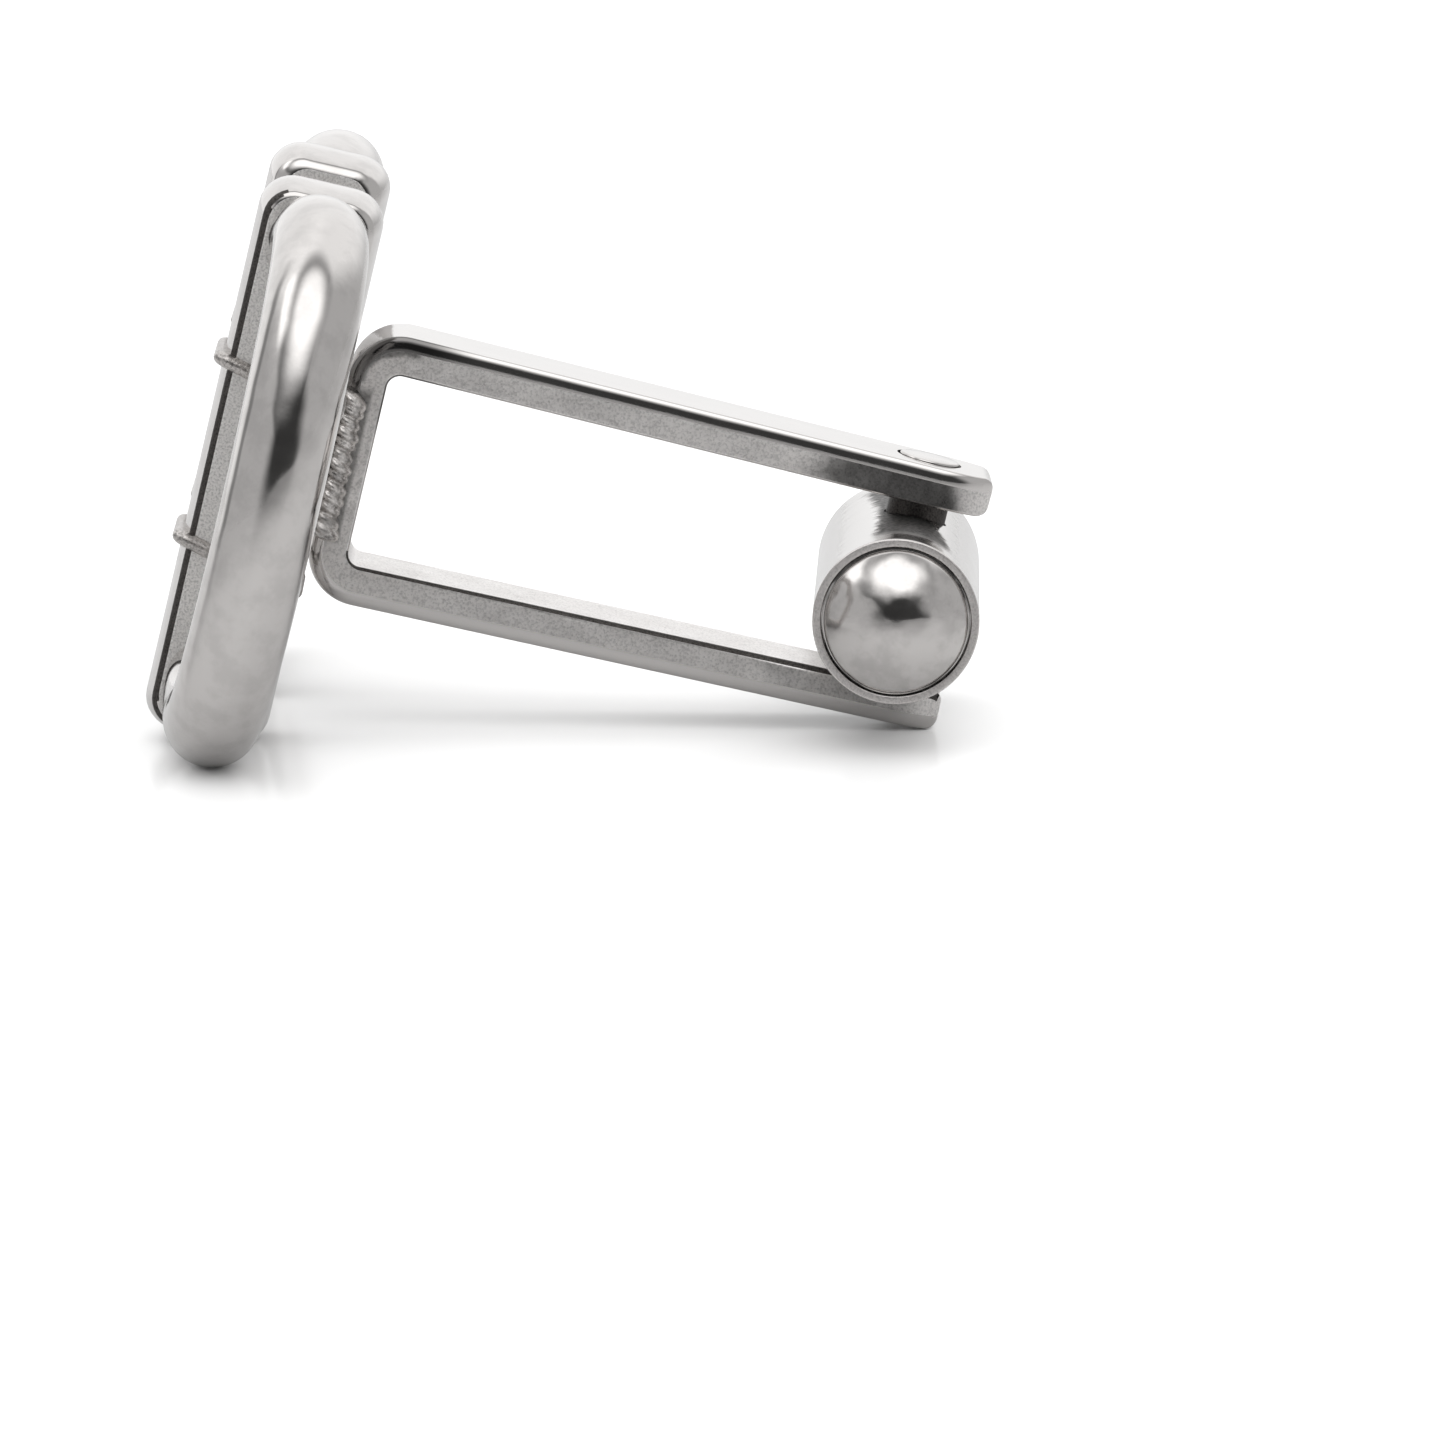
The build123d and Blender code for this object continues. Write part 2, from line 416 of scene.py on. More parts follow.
# %% Helpers for the strip
FRAME_LENGTH = 19.4
FRAME_WIDTH = 8.2456
STRIP_THICK = 1.18
STRIP_WIDTH = 3.3
INNER_RADIUS = 0.4
ARM_TAPER = math.radians(0.75)
ARM_END_RADIUS = 0.8
ARM_END_LENGTH = 1.6
ARM_END_EDGE = 0.36
ARM_PARTS = 6
ROLL_HEIGHT = 0.42
ROLL_DEPTH = 0.14
END_STEPS = (
    0, 0.01, 0.03, 0.06, 0.1, 0.15, 0.22, 0.3,
    ARM_END_EDGE, 0.5, 0.68, 0.9, 1.12, 1.36, ARM_END_LENGTH,
)


def end_share(run):
    """Width and thickness this far from the arm's end, as shares of the full ones."""
    shares = []
    for length, drop, full in (
        (ARM_END_LENGTH, ARM_END_RADIUS, STRIP_WIDTH),
        (ARM_END_EDGE, ARM_END_EDGE, STRIP_THICK),
    ):
        short = max(0, 1 - run / length)
        shares.append(1 - 2 * drop * (1 - math.sqrt(1 - short**2)) / full)
    return shares


def draw_arm(here, towards, runs):
    """Extrudes the selected end through these distances from the arm's end, and fits its size."""
    for run, next_run in zip(runs, runs[1:]):
        old, new = end_share(run), end_share(next_run)
        move = towards * abs(next_run - run)
        here = here + move
        bpy.ops.mesh.extrude_region_move(TRANSFORM_OT_translate={"value": move})
        bpy.ops.transform.resize(value=(1, new[0] / old[0], new[1] / old[1]), center_override=here)
    return here


slope = math.tan(ARM_TAPER)
corner_x = INNER_RADIUS + STRIP_THICK
corner_turn = math.pi / 2 + ARM_TAPER
corner_z = FRAME_WIDTH / 2 - corner_x * slope - corner_x / math.cos(ARM_TAPER)
inwards = Vector((-math.sin(ARM_TAPER), 0, -math.cos(ARM_TAPER)))
to_head = Vector((-math.cos(ARM_TAPER), 0, math.sin(ARM_TAPER)))
to_end = Vector((math.cos(ARM_TAPER), 0, math.sin(ARM_TAPER)))
outer_tip = Vector((FRAME_LENGTH, 0, FRAME_WIDTH / 2 - FRAME_LENGTH * slope))
arm_end = outer_tip + inwards * (STRIP_THICK / 2)
arm_run = (Vector((corner_x, 0, corner_z)) - arm_end).dot(to_head)
part_run = (arm_run - ARM_END_LENGTH) / ARM_PARTS
arm_runs = [*END_STEPS, *(ARM_END_LENGTH + part_run * (i + 1) for i in range(ARM_PARTS))]
print("An arm is", round(arm_run, 2), "mm long, with its rounded end")

# %% Draw and bend the strip
clear_selection()
bpy.ops.mesh.primitive_plane_add(size=1, location=arm_end, rotation=(0, math.pi / 2 + ARM_TAPER, 0))
bpy.ops.transform.resize(value=(STRIP_THICK, STRIP_WIDTH, 1), orient_type="LOCAL")
bpy.ops.object.transform_apply()
swivel = begin("swivel_frame")
pick("VERT", lambda m, n: m.z > arm_end.z)
bpy.ops.mesh.bevel(affect="VERTICES", offset=ROLL_HEIGHT, segments=8)
for side in (-1, 1):
    edge = side * STRIP_WIDTH / 2
    pick("VERT", lambda m, n: m.z > arm_end.z and abs(m.y - edge) < ROLL_HEIGHT + 0.01)
    bpy.ops.transform.resize(value=(1, ROLL_DEPTH / ROLL_HEIGHT, 1), center_override=(0, edge, 0))
bpy.ops.mesh.select_mode(type="FACE")
bpy.ops.mesh.select_all(action="SELECT")
bpy.ops.transform.resize(value=(1, *end_share(0)), center_override=arm_end)
here = draw_arm(arm_end, to_head, arm_runs)
bpy.ops.mesh.spin(steps=16, angle=corner_turn, center=(corner_x, 0, corner_z), axis=(0, 1, 0))
bpy.ops.mesh.extrude_region_move(TRANSFORM_OT_translate={"value": (0, 0, -2 * corner_z)})
bpy.ops.mesh.spin(steps=16, angle=corner_turn, center=(corner_x, 0, -corner_z), axis=(0, 1, 0))
draw_arm(Vector((here.x, 0, -here.z)), to_end, arm_runs[::-1])
clear_selection()
tidy_shell(swivel)
measure(swivel)

# %% [markdown]
# The inner edges are sharper. Bevel weights say how wide each is eased: fine nearly everywhere,
# and growing towards the end of the lower arm, where the real one has been filed.

# %% Ease the inner edges
FINE_EASE = 0.09
LOWER_END_EASE = 0.24
SHARP_EDGE = math.radians(60)


def ease_width(m):
    """How far the edge at this place is eased; it changes only between straight parts."""
    if m.z > 0:
        return FINE_EASE
    parts_along = (m.x - corner_x) / (part_run * math.cos(ARM_TAPER))
    part = min(ARM_PARTS - 1, max(0, math.floor(parts_along)))
    return FINE_EASE + (LOWER_END_EASE - FINE_EASE) * part / (ARM_PARTS - 1)


take(swivel)
bpy.ops.object.mode_set(mode="EDIT")
mesh = bmesh.from_edit_mesh(swivel.data)
layers = mesh.edges.layers.float
weights = layers.get("bevel_weight_edge") or layers.new("bevel_weight_edge")
eased = 0
for edge in mesh.edges:
    if edge.calc_face_angle(0) > SHARP_EDGE:
        middle = (edge.verts[0].co + edge.verts[1].co) / 2
        edge[weights] = ease_width(middle) / LOWER_END_EASE
        eased += 1
bmesh.update_edit_mesh(swivel.data)
clear_selection()
print(eased, "edges eased")
ease = swivel.modifiers.new("ease", "BEVEL")
ease.limit_method = "WEIGHT"
ease.width = LOWER_END_EASE
ease.segments = 5
ease.use_clamp_overlap = False
apply_modifiers(swivel)
tidy_shell(swivel)

# %% [markdown]
# The pin is riveted in a hole through both arm ends. The hole is cut with a rod whose ends are
# out of the way, and it is a hair wider than the pin, so that a thin dark line shows round the
# rivet as it does on the real one.

# %% Drill the pin hole
PIN_RADIUS = 0.9
HOLE_RADIUS = 0.985


def rod(radius, length, location, rotation=(0, 0, 0)):
    """A round rod, upright unless it is turned."""
    clear_selection()
    bpy.ops.mesh.primitive_cylinder_add(
        vertices=64, radius=radius, depth=length, location=location, rotation=rotation
    )
    bpy.ops.object.transform_apply()
    return bpy.context.object


def cut(piece, cutter):
    """Takes the cutter's shape out of the piece."""
    boolean = piece.modifiers.new("cut", "BOOLEAN")
    boolean.operation = "DIFFERENCE"
    boolean.solver = "EXACT"
    boolean.object = cutter
    apply_modifiers(piece)
    bpy.data.objects.remove(cutter)


cut(swivel, rod(HOLE_RADIUS, 20, (PIN_FROM_HEAD, 0, 0)))
even_shading(swivel, 30)

# %% [markdown]
# ## The pin
# The rivet is a round pin, struck so that its heads lie almost flush with the arms and bulge a
# little. A cylinder gets a narrow bevel at both ends, and the end faces are inset and lifted.

# %% Turn the pin
PIN_PROUD = 0.11
PIN_EASE = 0.07
HEAD_BULGE = 0.04
HEAD_RINGS = ((0.18, 0.018), (0.2, 0.012), (0.2, 0.008))
arm_outer_at_pin = FRAME_WIDTH / 2 - PIN_FROM_HEAD * slope
pin_length = 2 * (arm_outer_at_pin + PIN_PROUD)


def head_middle(end):
    """A test for the face in the middle of one head."""
    return lambda m, n: n.z * end > 0.999 and math.hypot(m.x - PIN_FROM_HEAD, m.y) < 0.01


rod(PIN_RADIUS, pin_length - 2 * HEAD_BULGE, (PIN_FROM_HEAD, 0, 0))
pin = begin("rivet_pin")
pick("EDGE", lambda m, d: abs(m.z) > pin_length / 2 - 0.1 and abs(d.z) < 0.001)
bpy.ops.mesh.bevel(affect="EDGES", offset=PIN_EASE, segments=4)
for end in (-1, 1):
    for inset, lift in HEAD_RINGS:
        pick("FACE", head_middle(end))
        bpy.ops.mesh.inset(thickness=inset, depth=0)
        bpy.ops.transform.translate(value=(0, 0, end * lift))
clear_selection()
even_shading(pin, 40)

# %% [markdown]
# ## The weld beads
# The frame's base is welded to the mouthpiece along both edges. A bead laid by hand is a row of
# small frozen pools, each lapping over the last. One pool is a squashed sphere, tipped so that
# it laps. Its copies vary a little in size and place, and the first is the largest, because a
# bead starts with a blob.

# %% Lay the pools of one bead
POOLS = 13
POOL_PITCH = 0.33
POOL_RADII = (0.52, 0.52, 0.25)
POOL_TIP = math.radians(24)
POOL_SWAY = 0.03
SIZE_SWAY = 0.06
FIRST_POOL_MORE = 0.22
BEAD_EDGE = STRIP_WIDTH / 2
BEAD_OUT = 0.12
BEAD_FORWARD = 0.24

clear_selection()
bpy.ops.mesh.primitive_uv_sphere_add(segments=32, ring_count=20, radius=1)
pool = begin("near_weld")
bpy.ops.mesh.select_all(action="SELECT")
bpy.ops.transform.resize(value=POOL_RADII)
clear_selection()
place(pool, Matrix.Rotation(POOL_TIP, 4, "Y"))

blobs = []
for i in range(POOLS):
    level = (i - (POOLS - 1) / 2) * POOL_PITCH + POOL_SWAY * math.sin(4.1 * i)
    shift = POOL_SWAY * math.sin(1.7 * i + 1)
    size = 1 + SIZE_SWAY * math.sin(2.3 * i) + (FIRST_POOL_MORE if i == 0 else 0)
    spot = Vector((BEAD_FORWARD + 0.2 * shift, -BEAD_EDGE - BEAD_OUT + shift, level))
    blob = copy_piece(pool, "pool")
    blobs.append(place(blob, Matrix.Translation(spot) @ Matrix.Scale(size, 4)))
bpy.data.objects.remove(pool)
print(len(blobs), "pools laid")

# %% [markdown]
# The pools have to become one skin, as molten metal does. A union would leave sharp creases
# between them, so they are joined as they are and given a fine voxel remesh, and a few rounds of
# smoothing melt the creases to ripples. The far bead is the same bead, turned over.

# %% Melt the pools to a bead
MELT_SIZE = 0.03
MELT_ROUNDS = 10

clear_selection()
for blob in blobs:
    blob.select_set(True)
near_weld = blobs[0]
bpy.context.view_layer.objects.active = near_weld
bpy.ops.object.join()
near_weld.name = "near_weld"
near_weld.data.name = "near_weld"
melt = near_weld.modifiers.new("melt", "REMESH")
melt.mode = "VOXEL"
melt.voxel_size = MELT_SIZE
melt.use_smooth_shade = True
soften = near_weld.modifiers.new("soften", "SMOOTH")
soften.factor = 0.5
soften.iterations = MELT_ROUNDS
apply_modifiers(near_weld)
measure(near_weld)
far_weld = copy_piece(near_weld, "far_weld")
place(far_weld, Matrix.Rotation(math.pi, 4, "X"))

# %% [markdown]
# ## The toggle
# The toggle is a thin tube that turns on the pin. A cylinder is inset at both ends and the inner
# face pushed in, which leaves the tube's wall as a rim round the domed cap.

# %% Turn the barrel
BARREL_RADIUS = 2.45
BARREL_LENGTH = 12.2
BARREL_WALL = 0.25
BARREL_DROP = 0.2
BARREL_EASE = 0.06
PIN_PLAY = 0.05
CAP_SEAT = 1.4
TOGGLE_TURN = math.radians(2)
half_barrel = BARREL_LENGTH / 2
TOGGLE_PLACE = (
    Matrix.Translation((PIN_FROM_HEAD, 0, -BARREL_DROP))
    @ Matrix.Rotation(-TOGGLE_TURN, 4, "Z")
    @ Matrix.Rotation(math.pi / 2, 4, "X")
)


def rim_circle(m, d):
    """The circles at both ends of the tube, and not the edges across its wall."""
    around = Vector((m.x, m.y, 0)).normalized()
    at_end = abs(abs(m.z) - half_barrel) < 0.001 and abs(d.z) < 0.001
    return at_end and abs(d.normalized().cross(around).z) > 0.9


clear_selection()
bpy.ops.mesh.primitive_cylinder_add(vertices=128, radius=BARREL_RADIUS, depth=BARREL_LENGTH)
barrel = begin("barrel")
for end in (-1, 1):
    pick("FACE", lambda m, n: n.z * end > 0.9)
    bpy.ops.mesh.inset(thickness=BARREL_WALL, depth=0)
    bpy.ops.mesh.extrude_region_move(TRANSFORM_OT_translate={"value": (0, 0, -end * CAP_SEAT)})
pick("EDGE", rim_circle)
bpy.ops.mesh.bevel(affect="EDGES", offset=BARREL_EASE, segments=4)
clear_selection()
cut(barrel, rod(PIN_RADIUS + PIN_PLAY, 2 * BARREL_RADIUS + 1, (0, 0, 0), (math.pi / 2, 0, 0)))
place(barrel, TOGGLE_PLACE)
even_shading(barrel, 30)

# %% [markdown]
# Each end of the tube is closed by a pressed cap. Its dome is a low slice of a large sphere, and
# its neck is a little narrower than the tube, which shows as a fine dark groove. A sphere is cut
# off by bisecting it, and its open edge is extruded down to make the neck and the shank.

# %% Press the domed caps
DOME_HEIGHT = 0.98
GROOVE_WIDTH = 0.09
GROOVE_DEPTH = 0.16
CAP_CLEARANCE = 0.02
CAP_DEPTH = 1.2
DOME_EDGE = 0.01
NECK_START = 0.04
NECK_FLARE = 0.012
NECK_RADIUS = BARREL_RADIUS - BARREL_WALL - GROOVE_WIDTH
SHANK_RADIUS = BARREL_RADIUS - BARREL_WALL - CAP_CLEARANCE
dome_radius = (NECK_RADIUS**2 + DOME_HEIGHT**2) / (2 * DOME_HEIGHT)

clear_selection()
dome_center = (0, 0, half_barrel + DOME_HEIGHT - dome_radius)
bpy.ops.mesh.primitive_uv_sphere_add(
    segments=96, ring_count=72, radius=dome_radius, location=dome_center
)
bpy.ops.object.transform_apply()
cap = begin("near_dome")
bpy.ops.mesh.select_all(action="SELECT")
level, radius = half_barrel + DOME_EDGE, NECK_RADIUS
bpy.ops.mesh.bisect(plane_co=(0, 0, level), plane_no=(0, 0, 1), clear_inner=True)
for next_level, next_radius in (
    (half_barrel - NECK_START, NECK_RADIUS + NECK_FLARE),
    (half_barrel - GROOVE_DEPTH, NECK_RADIUS + NECK_FLARE),
    (half_barrel - GROOVE_DEPTH - 0.01, SHANK_RADIUS),
    (half_barrel - CAP_DEPTH, SHANK_RADIUS),
):
    pick("EDGE", lambda m, d: abs(m.z - level) < 0.002 and abs(d.z) < 0.001)
    bpy.ops.mesh.extrude_edges_move(TRANSFORM_OT_translate={"value": (0, 0, next_level - level)})
    grow = next_radius / radius
    bpy.ops.transform.resize(value=(grow, grow, 1), center_override=(0, 0, next_level))
    level, radius = next_level, next_radius
pick("EDGE", lambda m, d: abs(m.z - level) < 0.002 and abs(d.z) < 0.001)
bpy.ops.mesh.edge_face_add()
clear_selection()
tidy_shell(cap)
far_cap = copy_piece(cap, "far_dome")
place(far_cap, Matrix.Rotation(math.pi, 4, "X"))
for piece in (cap, far_cap):
    place(piece, TOGGLE_PLACE)
    even_shading(piece, 30)

# %% [markdown]
# ## Stand it up
# Every piece is still in the drawing's place, in millimetres. One matrix leans it, moves it and
# turns millimetres to metres, and is written into each mesh, so every object sits at the origin.

# %% Lean the pieces on the table
head_pieces = [ring, far_ring, upright, far_upright, mouthpiece, swivel, near_weld, far_weld, pin]
head_pieces += collars
toggle_pieces = [barrel, cap, far_cap]
for piece in head_pieces + toggle_pieces:
    place(piece, STAND)
print(len(head_pieces), "pieces on the head and", len(toggle_pieces), "on the toggle")

# %% [markdown]
# ## Materials
# Everything is one grade of stainless steel, so what tells the surfaces apart is how each was
# finished. A colour is given as the sRGB value that one would pick on a screen, and one function
# turns it to the linear value that the shader works in.

# %% Helpers for materials
# Shaders measure in metres; a length in millimetres is divided by MM.
MM = 1000
STEEL = "#d3d0ce"


def colour(code):
    """The linear colour of an sRGB hex code."""
    values = [int(code[i:i + 2], 16) / 255 for i in (1, 3, 5)]
    linear = [v / 12.92 if v <= 0.04045 else ((v + 0.055) / 1.055) ** 2.4 for v in values]
    return (*linear, 1)


def node(tree, kind, settings=None, **inputs):
    """Adds a node with its settings, and sets or links each named input."""
    new = tree.nodes.new("ShaderNode" + kind)
    for key, value in (settings or {}).items():
        setattr(new, key, value)
    for key, value in inputs.items():
        socket = next(
            s for s in new.inputs
            if s.enabled and (s.name.replace(" ", "_") == key or s.identifier == key)
        )
        if isinstance(value, bpy.types.NodeSocket):
            tree.links.new(value, socket)
        else:
            socket.default_value = value
    return new


def shade(tree, base, amount):
    """Darkens a colour, or the colour from a socket, by an amount between 0 and 1."""
    return node(
        tree, "Mix", {"data_type": "RGBA", "blend_type": "MULTIPLY"},
        Factor_Float=1.0, A_Color=base, B_Color=amount,
    ).outputs[2]


def blank_material(name):
    material = bpy.data.materials.new(name)
    material.use_nodes = True
    material.node_tree.nodes.clear()
    return material, material.node_tree


print("Steel reflects about", [round(v, 3) for v in colour(STEEL)[:3]])

# %% [markdown]
# ### How steel is finished
# Tumbled and buffed steel reflects almost like a mirror. Under the polish a slight waviness is
# left from the forming, a millimetre or two long, and a faint haze lies on it in clouds. The
# duller finishes also have fine dents, 0.05 to 0.08 mm apart, and the deepest stay dark. On the
# polished ones the dents are too fine to show, so they are drawn coarser, and very shallow. One
# function makes them all, so that the finishes differ only by these measures.

# %% One recipe for all the finishes
# A noise texture lies nearly all in the first range, and counts as spots below the second.
NOISE = (0.3, 0.7)
SPOTS = (0.34, 0.56)
HAZE_PER_MM = 0.9


def steel(name, rough, rough_spread, wave, grain, tint=STEEL, pitted=0.0):
    """Stainless steel with a waviness and a grain, each a length and a depth in millimetres."""
    wave_length, wave_depth = wave
    grain_size, grain_depth = grain
    material, tree = blank_material(name)
    there = node(tree, "TexCoord").outputs["Object"]
    waves = node(tree, "TexNoise", Vector=there, Scale=MM / wave_length, Detail=1.0)
    dents = node(tree, "TexNoise", Vector=there, Scale=MM / grain_size, Detail=3.0, Roughness=0.6)
    haze = node(tree, "TexNoise", Vector=there, Scale=MM * HAZE_PER_MM, Detail=4.0, Roughness=0.65)
    roughness = node(
        tree, "MapRange", Value=haze.outputs["Fac"], From_Min=NOISE[0], From_Max=NOISE[1],
        To_Min=max(0.02, rough - rough_spread), To_Max=rough + rough_spread,
    )
    wave_bump = node(tree, "Bump", Height=waves.outputs["Fac"], Distance=wave_depth / MM)
    bump = node(
        tree, "Bump", Height=dents.outputs["Fac"], Distance=grain_depth / MM,
        Normal=wave_bump.outputs["Normal"],
    )
    base = colour(tint)
    if pitted:
        pits = node(
            tree, "MapRange", Value=dents.outputs["Fac"],
            From_Min=SPOTS[0], From_Max=SPOTS[1], To_Min=1 - pitted, To_Max=1.0,
        )
        base = shade(tree, base, pits.outputs["Result"])
    shader = node(
        tree, "BsdfPrincipled", Base_Color=base, Metallic=1.0,
        Roughness=roughness.outputs["Result"], Normal=bump.outputs["Normal"],
    )
    node(tree, "OutputMaterial", Surface=shader.outputs["BSDF"])
    return material


# %% The finishes
# Nearly a mirror: the rings and uprights carry clean black and white shapes.
polished = steel("polished stainless steel", 0.09, 0.03, (1.8, 0.04), (0.25, 0.0006))
# The same polish on pressed sheet: shorter waves make the domes' reflections waver.
domed = steel("polished stainless steel cap", 0.11, 0.04, (0.9, 0.05), (0.2, 0.001))
# The sheared side of the strip: a bright, soft grey with no picture of the room in it.
satin_cut = steel(
    "blanked stainless steel edge", 0.36, 0.1, (1.2, 0.05), (0.07, 0.006), "#ebe8e6", 0.3
)
# Tumbled and no more: pale and dull, so the flat faces look nearly white beside the mirrors.
satin_face = steel(
    "tumbled stainless steel face", 0.5, 0.1, (0.5, 0.02), (0.07, 0.01), "#f4f2f0", 0.35
)
# Rims painted dark: a thin, rough, dark line between two bright faces. On the uprights it is a
# painted dark reflection, and on the pin's shank painted shade in the hole.
painted_dark_rim = steel("unpolished steel rim", 0.5, 0.1, (0.5, 0.01), (0.05, 0.012), "#585553", 0.6)
# Metal that has run and frozen: soft highlights with small dark pits.
weld_steel = steel(
    "welded stainless steel", 0.26, 0.08, (0.5, 0.01), (0.08, 0.004), "#dedad7", 0.3
)
# The tube's wall as the lathe left it: an even, soft ring of light round the dome.
turned = steel(
    "turned stainless steel rim", 0.34, 0.05, (0.5, 0.0), (0.06, 0.005), "#dcd8d6", 0.25
)
# Drawn and hardly polished: greyer than the uprights, so the fine bands show as lines.
bound = steel("drawn steel band", 0.3, 0.08, (0.4, 0.02), (0.08, 0.01), "#c4c0bd", 0.5)
# The rolled skin of the strip: a mirror with shallower waves, for flat, even reflections.
rolled = steel("polished stainless steel strip", 0.09, 0.03, (1.8, 0.02), (0.25, 0.0006))
# The tube's skin, the truest of all: its reflections run straight from end to end.
barrel_steel = steel("polished stainless steel tube", 0.09, 0.03, (1.4, 0.01), (0.25, 0.0006))
print("Finishes:", [m.name for m in bpy.data.materials if " steel" in m.name])

# %% [markdown]
# ### Marks with a place of their own
# Wear and heat leave marks in places that can be pointed at in the drawing, and dark reflections
# are painted in some such places too. They could be painted by hand, but a mask worked out from
# the place needs no picture and stays sharp close up.
# The helpers lay such a mask over a finish, as a darker colour or as a bump.

# %% Helpers for marks
to_drawing = STAND.inverted()


def in_drawing(tree):
    """The place in the drawing, in millimetres, as one vector and as its X, Y and Z."""
    place_in = node(tree, "TexCoord").outputs["Object"]
    turned_back = node(
        tree, "Mapping", Vector=place_in, Location=to_drawing.to_translation(),
        Rotation=to_drawing.to_euler(), Scale=to_drawing.to_scale(),
    ).outputs["Vector"]
    return turned_back, node(tree, "SeparateXYZ", Vector=turned_back).outputs


def step(tree, value, low, high, at_low=0.0, at_high=1.0):
    """Goes softly from one amount to another as the value goes from low to high."""
    return node(
        tree, "MapRange", {"interpolation_type": "SMOOTHSTEP"}, Value=value,
        From_Min=low, From_Max=high, To_Min=at_low, To_Max=at_high,
    ).outputs["Result"]


def combine(tree, operation, *values):
    inputs = dict(zip(("Value", "Value_001", "Value_002"), values))
    return node(tree, "Math", {"operation": operation}, **inputs).outputs["Value"]


def distance(tree, across, upward):
    """The length of a line that goes this far across and this far up."""
    squared = combine(tree, "MULTIPLY", across, across)
    return combine(tree, "POWER", combine(tree, "MULTIPLY_ADD", upward, upward, squared), 0.5)


def main_shader(material):
    return next(n for n in material.node_tree.nodes if n.type == "BSDF_PRINCIPLED")


def add_bump(material, height):
    """Lays one more bump over the material's own, with its height in millimetres."""
    tree = material.node_tree
    socket = main_shader(material).inputs["Normal"]
    below = socket.links[0].from_socket
    bump = node(tree, "Bump", Height=height, Distance=1 / MM, Normal=below)
    tree.links.new(bump.outputs["Normal"], socket)


def add_shade(material, amount):
    """Darkens the material's own colour by an amount from a socket."""
    tree = material.node_tree
    socket = main_shader(material).inputs["Base Color"]
    base = socket.links[0].from_socket if socket.links else socket.default_value[:]
    tree.links.new(shade(tree, base, amount), socket)


# %% [markdown]
# Towards the arm's end the blanking die pulled the strip's cut side over. It leans there, which is
# a bump that grows upwards. Beyond a ragged line the side is painted dark almost to the tip, a
# painted dark reflection on the faces that look sideways.

# %% The leaning end of the upper arm, and its painted dark reflection
SIDE_LEAN = 0.16
LEAN_RUN = (12.6, 15.4)
DARK_REFLECTION_RUN = (14.4, 17.6)
DARK_REFLECTION_RAGGED = 3.0
DARK_REFLECTION_END = (19.55, 20.25)
DARK_REFLECTION_LIGHT = 0.24

tree = satin_cut.node_tree
there, axis = in_drawing(tree)
along_arm, up_arm = axis["X"], axis["Z"]
lean_there = step(tree, along_arm, *LEAN_RUN, 0.0, -SIDE_LEAN)
add_bump(satin_cut, combine(tree, "MULTIPLY", up_arm, lean_there))

# Beyond a ragged line the side is painted dark: a painted dark reflection on the sideways faces.
blotch = node(tree, "TexNoise", Vector=there, Scale=1.2, Detail=4.0).outputs["Fac"]
ragged = combine(tree, "MULTIPLY_ADD", blotch, DARK_REFLECTION_RAGGED, along_arm)
slanted = combine(tree, "MULTIPLY_ADD", up_arm, 0.5, along_arm)
painted_dark_reflection = combine(
    tree, "MULTIPLY", step(tree, ragged, *DARK_REFLECTION_RUN), step(tree, slanted, *DARK_REFLECTION_END, 1.0, 0.0)
)
normal = node(tree, "TexCoord").outputs["Normal"]
facing_side = node(tree, "SeparateXYZ", Vector=normal).outputs["Y"]
sideways = step(tree, combine(tree, "ABSOLUTE", facing_side), 0.6, 0.8)
on_upper_side = combine(tree, "MULTIPLY", sideways, step(tree, up_arm, -0.5, 0.5))
painted_dark_reflection = combine(tree, "MULTIPLY", painted_dark_reflection, on_upper_side)
add_shade(satin_cut, step(tree, painted_dark_reflection, 0.0, 1.0, 1.0, DARK_REFLECTION_LIGHT))
print("The upper arm's side leans by", SIDE_LEAN)

# %% [markdown]
# Welding burnt a dark line into the cut side along each bead. In the upper bend a blotchy patch of
# the cut side is painted dark, a painted dark reflection that thickens the dark line under the
# roll, and the rolled edge is darker along a margin. The bead itself is sooty in spots, and black
# where it meets the mouthpiece.

# %% Burns round the weld, and dark marks in the upper bend
BURN_RUN = (0.7, 0.92)
BEAD_END = (2.0, 2.6)
BURN_LIGHT = 0.4
BEND_CENTER = (1.58, 2.54)
BEND_REFLECTION_RUN = (1.7, 2.2)
BEND_REFLECTION_RISE = (2.3, 2.7)
BEND_REFLECTION_INNER = (1.15, 1.4)
BEND_REFLECTION_LIGHT = 0.34
DARKER_ROLL_RUN = (1.6, 4.2)
DARKER_ROLL_RISE = (0.5, 2.0)
DARKER_ROLL_EDGE = (STRIP_WIDTH / 2 - 0.2, STRIP_WIDTH / 2 - 0.12)
DARKER_ROLL_TONE = 0.3
SOOT_LIGHT = 0.55
BEAD_MARGIN = (-0.05, 0.14)
MARGIN_LIGHT = 0.3

beyond_burn = combine(
    tree, "MAXIMUM",
    step(tree, along_arm, *BURN_RUN), step(tree, combine(tree, "ABSOLUTE", up_arm), *BEAD_END),
)
add_shade(satin_cut, step(tree, beyond_burn, 0.0, 1.0, BURN_LIGHT, 1.0))

